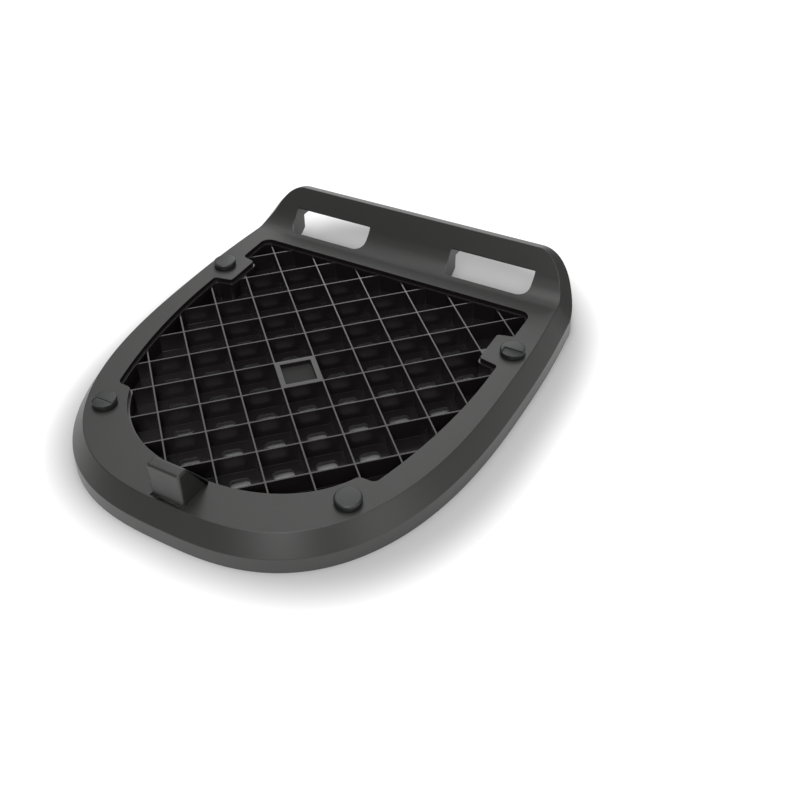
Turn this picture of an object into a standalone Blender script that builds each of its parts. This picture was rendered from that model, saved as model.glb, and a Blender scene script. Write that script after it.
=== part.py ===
"""Top case mounting plate for a motorcycle luggage rack.

One black moulding with four rubber buffers pressed into it. The moulding is a rounded plate on a
skirt. Its well holds a diagonal grid with a holed floor, its tail rises into a lip with two claw
slots, and a latch hook stands at its nose.

Metres, +Z up. The foot of the skirt lies on z = 0, the nose points to -Y and the tail to +Y, and
the origin is the middle of the plan.
"""
import math

import bmesh
import bpy
from mathutils import Matrix, Vector

# Top face of the plate
TOP_LENGTH = 0.2768
TOP_WIDTH = 0.2323
WIDEST_Y = 0.0434
NOSE_POWER = 2.8
TAIL_DRAW_IN = 0.0036
TAIL_CORNER_RADIUS = 0.0240
TOP_HEIGHT = 0.0207

# Skin of the moulding, from the top face down the sloping band to the skirt
WALL = 0.0028
BAND_WIDTH = 0.0083
BAND_DROP = 0.0113
BAND_DROP_AT_TAIL = 0.0030
SKIRT_DRAFT = 0.0006

# Tail lip: a hollow arc that leaves the top face, then a straight flank up to the crest
COVE_RADIUS = 0.0208
COVE_SWEEP = math.radians(60)
FLANK_RUN = 0.0084
REAR_WINDOW_HEIGHT = 0.0235
REAR_POST = 0.0168

# Claw slots in the lip
SLOT_GAP = 0.0622
SLOT_END_MARGIN = 0.02575
SLOT_DEPTH = 0.0139
SLOT_SETBACK = 0.0051
SLOT_CORNER = 0.0073
SLOT_FENCE = 0.0020
SLOT_FENCE_FOOT = 0.0102
SLOT_FENCE_TAPER_Y = 0.1338
SLOT_FENCE_TAPER = math.radians(36)

# Opening in the top face, with two tabs a side that carry the buffers
SIDE_RAIL = 0.0131
NOSE_RAIL = 0.0240
TAIL_RAIL = 0.0094
HEAD_INSET = 0.0026
HEAD_CORNER = 0.0066
TAIL_TAB_START = 0.0285
TAIL_TAB_LENGTH = 0.0270
TAIL_TAB_REACH = 0.0098
TAB_SKEW = 0.0024
TAB_CORNER = 0.0022
NOSE_TAB_RISE = 0.0410
SIDE_STRAIGHT = 0.0110
SIDE_ARC_RADIUS = 0.3690
NOSE_ARC_RAIL = 0.03235
NOSE_ARC_DEPTH = 0.0720
NOSE_ARC_POWER = 2.2

# Grid in the well
GRID_PITCH = 0.0245
GRID_CENTRE_Y = -0.0116
GRID_DROP = 0.0032
RIB_THICKNESS = 0.0012
CELL_DEPTH = 0.0122
FLOOR_THICKNESS = 0.0022
LEDGE = 0.0012
WELL_WALL = 0.0012
HOLE_SIZE = 0.0120
HOLE_CORNER = 0.0026
HOLE_MARGIN = 0.0012
SMALLEST_CELL_SHARE = 0.15
CENTRE_RIM = 0.0022
CENTRE_DEPTH = 0.0030

# Latch hook at the nose
HOOK_WIDTH = 0.0212
HOOK_HEIGHT = 0.0215
HOOK_SETBACK = 0.0027
HOOK_TOP_DEPTH = 0.0070
HOOK_WALL = 0.0026
HOOK_EDGE = 0.0012
LATCH_GROOVE_DEPTH = 0.0034
LATCH_GROOVE_RUN = 0.0030
LATCH_GROOVE_REACH = 0.0012
LATCH_GROOVE_RISE = 0.0006

# Ribs under the plate
STIFFENER = 0.0018
STIFFENER_FOOT = 0.0040
TAIL_RIB_OFFSET = 0.0274
CROSS_RIB_SHARES = (0.188, 0.365, 0.543, 0.727)
NOSE_RIB_SHARES = (-0.783, -0.514, -0.232, 0.232, 0.514, 0.783)
NOSE_RIB_RUN = 0.0682

# Rubber buffers
BUFFER_RADIUS = 0.0075
BUFFER_HEIGHT = 0.0040
BUFFER_BEVEL = 0.0011
TAIL_BUFFER_EDGE = 0.0101
NOSE_BUFFER_EDGE = 0.0130
NOSE_BUFFER_SETBACK = 0.0182
STEM_RADIUS = 0.0030
BARB_RADIUS = 0.0044
BARB_LENGTH = 0.0050
STEP_DEPTH = 0.0009
STEP_CORNER = (-0.0046, -0.0010)
SEAT_MARGIN = 0.0014
SEAT_DEPTH = 0.0005
FIT_GAP = 0.0003

# How finely the round stretches are drawn
NOSE_STEPS = 18
SIDE_STEPS = 4
TAIL_CORNER_STEPS = 7
COVE_STEPS = 6
SIDE_ARC_STEPS = 5
NOSE_ARC_STEPS = 11
ARC_STEP = math.radians(30)
HOLE_ARC_STEP = math.radians(45)
BUFFER_SIDES = 24

# How far a cutter runs past what it cuts
OVERRUN = 0.0020

# Values that follow from the sizes above
CREST_Y = TOP_LENGTH / 2
COVE_START_Y = CREST_Y - FLANK_RUN - COVE_RADIUS * math.sin(COVE_SWEEP)
OPENING_TAIL_Y = COVE_START_Y - TAIL_RAIL
OPENING_NOSE_Y = NOSE_RAIL - TOP_LENGTH / 2
OPENING_HALF_WIDTH = TOP_WIDTH / 2 - SIDE_RAIL
NOSE_ARC_WIDTH = TOP_WIDTH - 2 * NOSE_ARC_RAIL
SLOT_LENGTH = TOP_WIDTH / 2 - SLOT_END_MARGIN - SLOT_GAP / 2
TAIL_BUFFER_Y = OPENING_TAIL_Y - TAIL_TAB_START - TAIL_TAB_LENGTH / 2
NOSE_BUFFER_Y = OPENING_NOSE_Y + NOSE_TAB_RISE - NOSE_BUFFER_SETBACK
GRID_TOP = TOP_HEIGHT - GRID_DROP
CELL_FLOOR = GRID_TOP - CELL_DEPTH
WELL_BOTTOM = CELL_FLOOR - FLOOR_THICKNESS
JOIN_HEIGHT = TOP_HEIGHT - WALL / 2

# Turns a loop drawn as (y, z) into a side view that is raised along +X
UPRIGHT = Matrix(((0, 0, 1, 0), (1, 0, 0, 0), (0, 1, 0, 0), (0, 0, 0, 1)))

for old in list(bpy.data.objects):
    bpy.data.objects.remove(old, do_unlink=True)

PIECES = bpy.data.collections.new("top_case_mounting_plate")
HELPERS = bpy.data.collections.new("cutters")
for group in (PIECES, HELPERS):
    bpy.context.scene.collection.children.link(group)


def material(name, colour, roughness):
    """Principled material of a plain colour."""
    finish = bpy.data.materials.new(name)
    finish.use_nodes = True
    shader = finish.node_tree.nodes["Principled BSDF"]
    shader.inputs["Base Color"].default_value = (*colour, 1.0)
    shader.inputs["Roughness"].default_value = roughness
    shader.inputs["Metallic"].default_value = 0.0
    return finish


def add_object(name, mesh, group):
    """Object for a mesh, hidden from renders when it only cuts or joins."""
    item = bpy.data.objects.new(name, mesh)
    group.objects.link(item)
    if group is HELPERS:
        item.hide_render = True
        item.display_type = "WIRE"
    return item


def flat_solid(name, loops, low, high, place=Matrix.Identity(4)):
    """Helper solid made by raising closed flat loops, clockwise from above, from low to high."""
    edit = bmesh.new()
    for loop in loops:
        foot = [edit.verts.new((x, y, low)) for x, y in loop]
        crown = [edit.verts.new((x, y, high)) for x, y in loop]
        edit.faces.new(foot)
        edit.faces.new(reversed(crown))
        for index in range(len(loop)):
            edit.faces.new((foot[index], foot[index - 1], crown[index - 1], crown[index]))
    mesh = bpy.data.meshes.new(name)
    edit.to_mesh(mesh)
    edit.free()
    mesh.transform(place)
    return add_object(name, mesh, HELPERS)


def combine(target, operand, operation):
    """Join, cut or clip a target with another closed solid."""
    step = target.modifiers.new(operand.name, "BOOLEAN")
    step.operation = operation
    step.object = operand
    step.solver = "EXACT"


def join(target, operand):
    """Add a solid to the target."""
    combine(target, operand, "UNION")


def cut(target, operand):
    """Take a solid out of the target."""
    combine(target, operand, "DIFFERENCE")


def clip(target, operand):
    """Keep only what the target shares with a solid."""
    combine(target, operand, "INTERSECT")


def blend(start, end, share):
    """Value between start and end."""
    return start + (end - start) * share


def both_sides(half):
    """Closed loop from a right half that runs from the tail to the nose, as seen from above."""
    left = [(-corner[0], *corner[1:]) for corner in reversed(half) if corner[0] > 1e-9]
    return half + left


def edge_normal(start, end):
    """Unit vector at a right angle to an edge, pointing out of a clockwise loop."""
    along = (Vector(end) - Vector(start)).normalized()
    return Vector((-along.y, along.x))


def mitres(loop):
    """For each corner of a clockwise loop, the shift that moves its two edges out by one."""
    shifts = []
    for index, corner in enumerate(loop):
        before = edge_normal(loop[index - 1][:2], corner[:2])
        after = edge_normal(corner[:2], loop[(index + 1) % len(loop)][:2])
        shifts.append((before + after) / (1 + before.dot(after)))
    return shifts


def turn_at(loop, index):
    """Signed angle that a clockwise loop turns at a corner, above zero where it is convex."""
    before = edge_normal(loop[index - 1][:2], loop[index][:2])
    after = edge_normal(loop[index][:2], loop[(index + 1) % len(loop)][:2])
    return -math.atan2(before.x * after.y - before.y * after.x, before.dot(after))


def widened(loop, distance):
    """Clockwise loop of (x, y, radius) corners, moved out by a distance."""
    moved = []
    for index, (x, y, radius) in enumerate(loop):
        shift = mitres(loop)[index] * distance
        if radius:
            radius = max(radius + distance * math.copysign(1, turn_at(loop, index)), FIT_GAP)
        moved.append((x + shift.x, y + shift.y, radius))
    return moved


def rounded(loop, arc_step=ARC_STEP):
    """Plain points of a clockwise loop of (x, y, radius) corners, each radius drawn as an arc."""
    points = []
    for index, (x, y, radius) in enumerate(loop):
        turn = turn_at(loop, index)
        if not radius or abs(turn) < arc_step / 2:
            points.append((x, y))
            continue
        corner = Vector((x, y))
        before = edge_normal(loop[index - 1][:2], (x, y))
        after = edge_normal((x, y), loop[(index + 1) % len(loop)][:2])
        side = math.copysign(1, turn)
        centre = corner - (before + after) / (1 + before.dot(after)) * radius * side
        first = math.atan2(before.y * side, before.x * side)
        steps = max(2, round(abs(turn) / arc_step))
        for step in range(steps + 1):
            angle = first - turn * step / steps
            points.append((centre.x + radius * math.cos(angle), centre.y + radius * math.sin(angle)))
    return points


def superellipse(half_width, depth, centre_y, power, angle):
    """Point on a nose curve: angle zero lies on the axis, a right angle at the widest place."""
    x = half_width * math.sin(angle) ** (2 / power)
    y = centre_y - depth * math.cos(angle) ** (2 / power)
    return x, y


def superellipse_half_width(half_width, depth, centre_y, power, y):
    """Half width of a nose curve at a given y."""
    share = (centre_y - y) / depth
    return half_width * (1 - share ** power) ** (1 / power)


def top_half_width(y):
    """Half width of the top face at a given y, ahead of the tail corners."""
    if y < WIDEST_Y:
        return superellipse_half_width(TOP_WIDTH / 2, WIDEST_Y + TOP_LENGTH / 2, WIDEST_Y, NOSE_POWER, y)
    share = (y - WIDEST_Y) / (CREST_Y - TAIL_CORNER_RADIUS - WIDEST_Y)
    return TOP_WIDTH / 2 - TAIL_DRAW_IN * share ** 2


def top_loop():
    """Outline of the top face, clockwise from the tail."""
    corner_y = CREST_Y - TAIL_CORNER_RADIUS
    lean = math.atan(2 * TAIL_DRAW_IN / (corner_y - WIDEST_Y))
    corner_x = top_half_width(corner_y) - TAIL_CORNER_RADIUS * math.cos(lean)
    half = []
    for step in range(TAIL_CORNER_STEPS + 1):
        angle = blend(math.pi / 2, lean, step / TAIL_CORNER_STEPS)
        half.append((corner_x + TAIL_CORNER_RADIUS * math.cos(angle),
                     corner_y + TAIL_CORNER_RADIUS * math.sin(angle)))
    for step in range(SIDE_STEPS):
        y = blend(corner_y, WIDEST_Y, step / SIDE_STEPS)
        half.append((top_half_width(y), y))
    for step in range(NOSE_STEPS + 1):
        angle = blend(math.pi / 2, 0, step / NOSE_STEPS)
        half.append(superellipse(TOP_WIDTH / 2, WIDEST_Y + TOP_LENGTH / 2, WIDEST_Y, NOSE_POWER, angle))
    return both_sides(half)


def cove_stations(inset):
    """Side view of the tail lip, as (y, z) points, on the skin moved inwards by an inset."""
    radius = COVE_RADIUS + inset
    stations = []
    for step in range(COVE_STEPS + 1):
        angle = COVE_SWEEP * step / COVE_STEPS
        stations.append((COVE_START_Y + radius * math.sin(angle),
                         TOP_HEIGHT + COVE_RADIUS - radius * math.cos(angle)))
    return stations


def top_height(y, inset):
    """Height of the top face, or of its inner side, at a given y."""
    stations = cove_stations(inset)
    if y <= stations[0][0]:
        return stations[0][1]
    for (y0, z0), (y1, z1) in zip(stations, stations[1:]):
        if y <= y1:
            return blend(z0, z1, (y - y0) / (y1 - y0))
    return stations[-1][1] + (y - stations[-1][0]) * math.tan(COVE_SWEEP)


def top_slope(y):
    """Upward slope of the top face towards the tail at a given y."""
    rise = min(max((y - COVE_START_Y) / COVE_RADIUS, 0), math.sin(COVE_SWEEP))
    return rise / math.sqrt(1 - rise ** 2)


def skin_rings(inset, foot_height):
    """Rings of the skin: edge of the top face, lower edge of the band, and foot of the skirt."""
    edge, band, foot = [], [], []
    loop = top_loop()
    for (x, y), out in zip(loop, mitres(loop)):
        tailward = max(out.normalized().y, 0)
        climb = math.atan(top_slope(y) * tailward)
        drop = blend(BAND_DROP, BAND_DROP_AT_TAIL, tailward)
        fall = math.atan(drop / BAND_WIDTH)
        pull = inset * (math.sin(fall) - math.sin(climb)) / (1 + math.cos(climb + fall))
        inner_y = y - out.y * pull
        edge.append((x - out.x * pull, inner_y, top_height(inner_y, inset)))
        reach = BAND_WIDTH - inset
        sink = inset * math.cos(fall) / (1 + math.sin(fall))
        band.append((x + out.x * reach, y + out.y * reach, top_height(y, 0) - drop - sink))
        reach += SKIRT_DRAFT
        foot.append((x + out.x * reach, y + out.y * reach, foot_height))
    return edge, band, foot


def moulding_blank(name, inset, foot_height):
    """Closed body under the skin, lofted from the foot of the skirt to the edge of the top face."""
    edge, band, foot = skin_rings(inset, foot_height)
    flat = max(z for _, _, z in edge) + BAND_DROP
    edit = bmesh.new()
    rings = []
    for ring in (foot, band, [(x, y, flat) for x, y, _ in edge]):
        rings.append([edit.verts.new(point) for point in ring])
    for low, high in zip(rings, rings[1:]):
        for index in range(len(low)):
            edit.faces.new((low[index - 1], low[index], high[index], high[index - 1]))
    edit.faces.new(rings[0])
    edit.faces.new(rings[-1])
    for y, _ in cove_stations(inset):
        lid = [face for face in edit.faces if all(abs(vert.co.z - flat) < 1e-6 for vert in face.verts)]
        parts = {part for face in lid for part in (*face.verts, *face.edges, face)}
        bmesh.ops.bisect_plane(edit, geom=list(parts), plane_co=(0, y, 0), plane_no=(0, 1, 0), dist=1e-6)
    for vert in edit.verts:
        if abs(vert.co.z - flat) < 1e-6:
            vert.co.z = top_height(vert.co.y, inset)
    bmesh.ops.recalc_face_normals(edit, faces=edit.faces)
    mesh = bpy.data.meshes.new(name)
    edit.to_mesh(mesh)
    edit.free()
    return mesh


def opening_loop():
    """Corners of the opening in the top face, as (x, y, radius), clockwise from the tail."""
    head_x = OPENING_HALF_WIDTH - HEAD_INSET
    tab_x = head_x - TAIL_TAB_REACH
    tab_top = OPENING_TAIL_Y - TAIL_TAB_START
    tab_foot = tab_top - TAIL_TAB_LENGTH
    side_top = tab_foot - TAB_SKEW
    side_foot = OPENING_NOSE_Y + NOSE_TAB_RISE
    half = [(head_x, OPENING_TAIL_Y, HEAD_CORNER),
            (head_x, tab_top + TAB_SKEW / 2, TAB_CORNER),
            (tab_x, tab_top - TAB_SKEW / 2, TAB_CORNER),
            (tab_x, tab_foot, TAB_CORNER),
            (OPENING_HALF_WIDTH, side_top, TAB_CORNER)]
    arc_top = side_top - SIDE_STRAIGHT
    for step in range(SIDE_ARC_STEPS + 1):
        y = blend(arc_top, side_foot, step / SIDE_ARC_STEPS)
        bow = SIDE_ARC_RADIUS - math.sqrt(SIDE_ARC_RADIUS ** 2 - (y - arc_top) ** 2)
        half.append((OPENING_HALF_WIDTH - bow, y, TAB_CORNER if step == SIDE_ARC_STEPS else 0))
    centre_y = OPENING_NOSE_Y + NOSE_ARC_DEPTH
    arc = (NOSE_ARC_WIDTH / 2, NOSE_ARC_DEPTH, centre_y, NOSE_ARC_POWER)
    tab_tip = superellipse_half_width(*arc, side_foot)
    first = math.asin((tab_tip / (NOSE_ARC_WIDTH / 2)) ** (NOSE_ARC_POWER / 2))
    for step in range(NOSE_ARC_STEPS + 1):
        x, y = superellipse(*arc, blend(first, 0, step / NOSE_ARC_STEPS))
        half.append((x, y, 0 if step else TAB_CORNER))
    return both_sides(half)


def inside(points, x, y):
    """Whether a place lies inside a loop of plain points."""
    crossings = 0
    for (x0, y0), (x1, y1) in zip(points, points[1:] + points[:1]):
        if (y0 > y) != (y1 > y) and x < x0 + (y - y0) * (x1 - x0) / (y1 - y0):
            crossings += 1
    return crossings % 2 == 1


def diamond(x, y, side, radius=0.0):
    """Square with its corners on the axes through its middle, clockwise."""
    reach = side / math.sqrt(2)
    return [(x, y + reach, radius), (x + reach, y, radius), (x, y - reach, radius), (x - reach, y, radius)]


def grid_centres(walls):
    """Middles of the grid's cells that keep a fair share inside the walls, the centre cell apart."""
    half_diagonal = GRID_PITCH / math.sqrt(2)
    count = math.ceil(TOP_LENGTH / half_diagonal)
    centres = []
    for row in range(-count, count + 1):
        for column in range(-count, count + 1):
            x = (row + column) * half_diagonal
            y = GRID_CENTRE_Y + (row - column) * half_diagonal
            samples = [(x + (i + j) * half_diagonal / 8, y + (i - j) * half_diagonal / 8)
                       for i in (-3, -1, 1, 3) for j in (-3, -1, 1, 3)]
            share = sum(inside(walls, *sample) for sample in samples) / len(samples)
            if share > SMALLEST_CELL_SHARE and (row or column):
                centres.append((x, y))
    return centres


def plain(loop):
    """Corners of a loop without their radii."""
    return [corner[:2] for corner in loop]


def box_loop(x0, x1, y0, y1):
    """Clockwise rectangle."""
    return [(x0, y1), (x1, y1), (x1, y0), (x0, y0)]


def fence_taper():
    """Side view of what the sloping foot of the fences leaves out."""
    back = CREST_Y + 2 * BAND_WIDTH
    rise = (back - SLOT_FENCE_TAPER_Y) * math.tan(SLOT_FENCE_TAPER)
    return [(SLOT_FENCE_TAPER_Y, SLOT_FENCE_FOOT), (back, SLOT_FENCE_FOOT + rise), (back, 0),
            (SLOT_FENCE_TAPER_Y, 0)]


def add_stiffeners(plate):
    """Ribs under the plate and the fences at the ends of the claw slots."""
    reach = TOP_LENGTH
    half = STIFFENER / 2
    core = moulding_blank("stiffener_clip", WALL / 2, 0)
    ys = [blend(TAIL_BUFFER_Y, NOSE_BUFFER_Y, share) for share in CROSS_RIB_SHARES]
    ys.append(TAIL_BUFFER_Y + TAIL_RIB_OFFSET)
    xs = [(top_half_width(NOSE_BUFFER_Y) - NOSE_BUFFER_EDGE) * share for share in NOSE_RIB_SHARES]
    end = NOSE_RIB_RUN - TOP_LENGTH / 2
    cross = [box_loop(-reach, reach, y - half, y + half) for y in ys]
    nose = [box_loop(x - half, x + half, -reach, end) for x in xs]
    fences = []
    for side in (-1, 1):
        for x in (side * SLOT_GAP / 2, side * (SLOT_GAP / 2 + SLOT_LENGTH)):
            fences.append(box_loop(x - SLOT_FENCE, x + SLOT_FENCE, OPENING_TAIL_Y, reach))
    for name, loops, foot in (("cross_ribs", cross, STIFFENER_FOOT),
                              ("nose_ribs", nose, STIFFENER_FOOT),
                              ("slot_fences", fences, SLOT_FENCE_FOOT)):
        ribs = flat_solid(name, loops, foot, TOP_LENGTH)
        clip(ribs, add_object(name + "_clip", core, HELPERS))
        if loops is fences:
            cut(ribs, flat_solid("fence_taper", [fence_taper()], -reach, reach, UPRIGHT))
        join(plate, ribs)


def add_well(plate):
    """Well with its walls, holed floor and diagonal grid, open at the top face."""
    opening = opening_loop()
    walls = rounded(widened(opening, -LEDGE))
    join(plate, flat_solid("well_block", [rounded(widened(opening, WELL_WALL))], WELL_BOTTOM, JOIN_HEIGHT))
    cut(plate, flat_solid("opening", [rounded(opening)], GRID_TOP, TOP_HEIGHT + OVERRUN))
    centres = grid_centres(walls)
    cell = GRID_PITCH - RIB_THICKNESS
    cells = flat_solid("cells", [plain(diamond(*centre, cell)) for centre in centres],
                       CELL_FLOOR, GRID_TOP + GRID_DROP / 2)
    clip(cells, flat_solid("cell_walls", [walls], CELL_FLOOR - OVERRUN, TOP_HEIGHT))
    cut(plate, cells)
    rim = diamond(0, GRID_CENTRE_Y, cell - 2 * CENTRE_RIM)
    cut(plate, flat_solid("centre_pocket", [plain(rim)], GRID_TOP - CENTRE_DEPTH, TOP_HEIGHT))
    whole = [centre for centre in centres
             if all(inside(walls, *corner) for corner in plain(diamond(*centre, HOLE_SIZE + 2 * HOLE_MARGIN)))]
    holes = [rounded(diamond(*centre, HOLE_SIZE, HOLE_CORNER), HOLE_ARC_STEP) for centre in whole]
    cut(plate, flat_solid("floor_holes", holes, WELL_BOTTOM - OVERRUN, CELL_FLOOR + OVERRUN))


def claw_path():
    """Side view of the way through a claw slot, which leaves the lip square to its flank."""
    nose_y = COVE_START_Y + SLOT_SETBACK
    tail_y = nose_y + SLOT_DEPTH
    edge = top_height(tail_y, 0)
    back = CREST_Y + 2 * BAND_WIDTH
    fall = math.tan(math.pi / 2 - COVE_SWEEP)
    low = SLOT_FENCE_FOOT - OVERRUN
    return [(nose_y - OVERRUN, low), (nose_y - OVERRUN, TOP_LENGTH), (tail_y, TOP_LENGTH), (tail_y, edge),
            (back, edge - (back - tail_y) * fall), (back, low)]


def add_claw_slots(plate):
    """Two slots through the lip, and the window behind them that lets the claws through."""
    nose_y = COVE_START_Y + SLOT_SETBACK
    back = CREST_Y + BAND_WIDTH + OVERRUN
    loops = []
    for side in (-1, 1):
        x0, x1 = sorted((side * SLOT_GAP / 2, side * (SLOT_GAP / 2 + SLOT_LENGTH)))
        loops.append(rounded([(x0, back, 0), (x1, back, 0), (x1, nose_y, SLOT_CORNER), (x0, nose_y, SLOT_CORNER)]))
    slots = flat_solid("claw_slots", loops, 0, TOP_LENGTH)
    clip(slots, flat_solid("claw_path", [claw_path()], -TOP_WIDTH, TOP_WIDTH, UPRIGHT))
    cut(plate, slots)
    half = TOP_WIDTH / 2 - REAR_POST
    cut(plate, flat_solid("rear_window", [box_loop(-half, half, CREST_Y, back)], -OVERRUN, REAR_WINDOW_HEIGHT))


def hook_profile(inset, foot):
    """Side view of the hook down to its foot, drawn inwards by an inset."""
    front = HOOK_SETBACK - TOP_LENGTH / 2
    shoulder = front + HOOK_TOP_DEPTH
    top = TOP_HEIGHT + HOOK_HEIGHT
    back = shoulder + (OPENING_NOSE_Y - shoulder) * (top - foot) / HOOK_HEIGHT
    return plain(widened([(front, foot, 0), (front, top, 0), (shoulder, top, 0), (back, foot, 0)], -inset))


def add_hook(plate):
    """Hollow latch hook, and the groove along the foot of its front that the latch grips in."""
    half = HOOK_WIDTH / 2
    hook = flat_solid("hook", [hook_profile(0, JOIN_HEIGHT)], -half, half, UPRIGHT)
    edges = hook.modifiers.new("edges", "BEVEL")
    edges.width = HOOK_EDGE
    edges.segments = 2
    join(plate, hook)
    inner = half - HOOK_WALL
    core = [hook_profile(HOOK_WALL, JOIN_HEIGHT - 2 * HOOK_WALL)]
    cut(plate, flat_solid("hook_core", core, -inner, inner, UPRIGHT))
    front = HOOK_SETBACK - TOP_LENGTH / 2
    groove = box_loop(-half - LATCH_GROOVE_RISE, half + LATCH_GROOVE_RISE,
                      front - LATCH_GROOVE_RUN, front + LATCH_GROOVE_REACH)
    cut(plate, flat_solid("latch_groove", [groove], TOP_HEIGHT - LATCH_GROOVE_DEPTH,
                          TOP_HEIGHT + LATCH_GROOVE_RISE))


def buffer_places():
    """Name and plan place of each buffer."""
    places = []
    for end, y, edge in (("tail", TAIL_BUFFER_Y, TAIL_BUFFER_EDGE), ("nose", NOSE_BUFFER_Y, NOSE_BUFFER_EDGE)):
        x = top_half_width(y) - edge
        places.append((f"buffer_{end}_left", -x, y))
        places.append((f"buffer_{end}_right", x, y))
    return places


def add_buffer_seats(plate):
    """Shallow round seat and stem hole for each buffer."""
    for name, x, y in buffer_places():
        for part, radius, low in (("seat", BUFFER_RADIUS + SEAT_MARGIN, TOP_HEIGHT - SEAT_DEPTH),
                                  ("hole", STEM_RADIUS + FIT_GAP, TOP_HEIGHT - WALL - OVERRUN)):
            high = TOP_HEIGHT + OVERRUN
            bpy.ops.mesh.primitive_cylinder_add(vertices=BUFFER_SIDES, radius=radius, depth=high - low,
                                                location=(x, y, (low + high) / 2))
            made = bpy.context.object
            drill = add_object(f"{name}_{part}", made.data, HELPERS)
            drill.location = made.location
            bpy.data.objects.remove(made, do_unlink=True)
            cut(plate, drill)


def buffer_mesh():
    """Turned rubber buffer with a stem and a barb, and a step across its cap. Its seat is at z = 0."""
    base = FIT_GAP
    under = SEAT_DEPTH - WALL - FIT_GAP
    profile = [(0, BUFFER_HEIGHT), (BUFFER_RADIUS - BUFFER_BEVEL, BUFFER_HEIGHT),
               (BUFFER_RADIUS, BUFFER_HEIGHT - BUFFER_BEVEL), (BUFFER_RADIUS, base), (STEM_RADIUS, base),
               (STEM_RADIUS, under), (BARB_RADIUS, under), (STEM_RADIUS - BUFFER_BEVEL, under - BARB_LENGTH),
               (0, under - BARB_LENGTH)]
    mesh = bpy.data.meshes.new("buffer_profile")
    mesh.from_pydata([(x, 0, z) for x, z in profile], [(i, i + 1) for i in range(len(profile) - 1)], [])
    turned = add_object("buffer_turned", mesh, HELPERS)
    screw = turned.modifiers.new("turn", "SCREW")
    screw.steps = BUFFER_SIDES
    screw.render_steps = BUFFER_SIDES
    screw.use_merge_vertices = True
    screw.merge_threshold = 0.0001
    x, y = STEP_CORNER
    cutter = flat_solid("buffer_step", [box_loop(x, 2 * BUFFER_RADIUS, -2 * BUFFER_RADIUS, y)],
                        BUFFER_HEIGHT - STEP_DEPTH, BUFFER_HEIGHT + OVERRUN)
    cut(turned, cutter)
    bpy.context.view_layer.update()
    graph = bpy.context.evaluated_depsgraph_get()
    finished = bpy.data.meshes.new_from_object(turned.evaluated_get(graph))
    for used in (turned, cutter):
        bpy.data.objects.remove(used, do_unlink=True)
    return finished


def build_plate():
    """The moulding, as one closed solid."""
    plate = add_object("mounting_plate", moulding_blank("mounting_plate", 0, 0), PIECES)
    hollow = add_object("hollow", moulding_blank("hollow", WALL, -OVERRUN), HELPERS)
    cut(plate, hollow)
    add_stiffeners(plate)
    add_hook(plate)
    add_well(plate)
    add_claw_slots(plate)
    add_buffer_seats(plate)
    plate.data.materials.append(material("black_moulded_plastic", (0.022, 0.022, 0.021), 0.45))


def build_buffers():
    """The four rubber buffers on their seats."""
    mesh = buffer_mesh()
    mesh.shade_smooth()
    mesh.set_sharp_from_angle(angle=math.radians(30))
    mesh.materials.append(material("black_rubber", (0.012, 0.013, 0.013), 0.6))
    for name, x, y in buffer_places():
        buffer = add_object(name, mesh, PIECES)
        buffer.location = (x, y, TOP_HEIGHT - SEAT_DEPTH)


build_plate()
build_buffers()
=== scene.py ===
"""Top case mounting plate, dressed and lit for its portrait.

The moulding is modelled as a lofted skin, joined with its ribs, well and hook and cut by its slots
and holes, and then every edge is eased, as a mould leaves it. The rubber buffers are spun. Metres,
+Z up, nose towards -Y, tail towards +Y.
"""

import logging
import math
from dataclasses import dataclass, field
from enum import Enum

import bpy
from mathutils import Matrix, Vector
from mathutils.kdtree import KDTree

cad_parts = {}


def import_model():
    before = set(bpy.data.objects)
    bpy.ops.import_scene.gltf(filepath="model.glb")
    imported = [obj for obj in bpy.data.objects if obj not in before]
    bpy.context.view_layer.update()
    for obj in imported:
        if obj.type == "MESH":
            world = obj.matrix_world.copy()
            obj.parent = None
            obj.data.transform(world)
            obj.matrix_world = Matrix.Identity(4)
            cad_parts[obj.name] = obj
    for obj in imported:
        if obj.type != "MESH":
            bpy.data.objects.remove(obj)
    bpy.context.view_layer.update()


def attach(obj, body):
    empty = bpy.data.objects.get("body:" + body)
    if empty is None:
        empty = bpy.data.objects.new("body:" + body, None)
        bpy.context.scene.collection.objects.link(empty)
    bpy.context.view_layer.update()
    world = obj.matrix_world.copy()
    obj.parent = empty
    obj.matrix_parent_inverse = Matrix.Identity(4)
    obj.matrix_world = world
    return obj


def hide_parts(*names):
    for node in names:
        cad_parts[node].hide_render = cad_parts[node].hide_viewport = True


LOG = logging.getLogger("mounting_plate_scene")
MM = 0.001
# Two values this near each other are the same
CLOSE = 1e-6
# Least radius that a rounded corner keeps when its loop is moved
SMALLEST_RADIUS = 0.3 * MM
# How far a cutter reaches past the faces that it opens
OVERRUN = 2 * MM
Loop = list[tuple[float, ...]]


class BufferPlace(Enum):
    """The four corners that carry a buffer."""

    TAIL_LEFT = ("tail", -1, "buffer_tail_left", 0.0)
    TAIL_RIGHT = ("tail", 1, "buffer_tail_right", 0.9)
    NOSE_LEFT = ("nose", -1, "buffer_nose_left", 0.5)
    NOSE_RIGHT = ("nose", 1, "buffer_nose_right", 0.0)

    def __init__(self, end: str, side: int, node: str, step_mm: float) -> None:
        """Name the values of a corner.

        Args:
            end: "tail" or "nose".
            side: -1 for left, 1 for right.
            node: Name of the solid there.
            step_mm: Depth of the step in the cap, zero where the cap is whole.
        """
        self.end = end
        self.side = side
        self.node = node
        self.step_mm = step_mm


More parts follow.
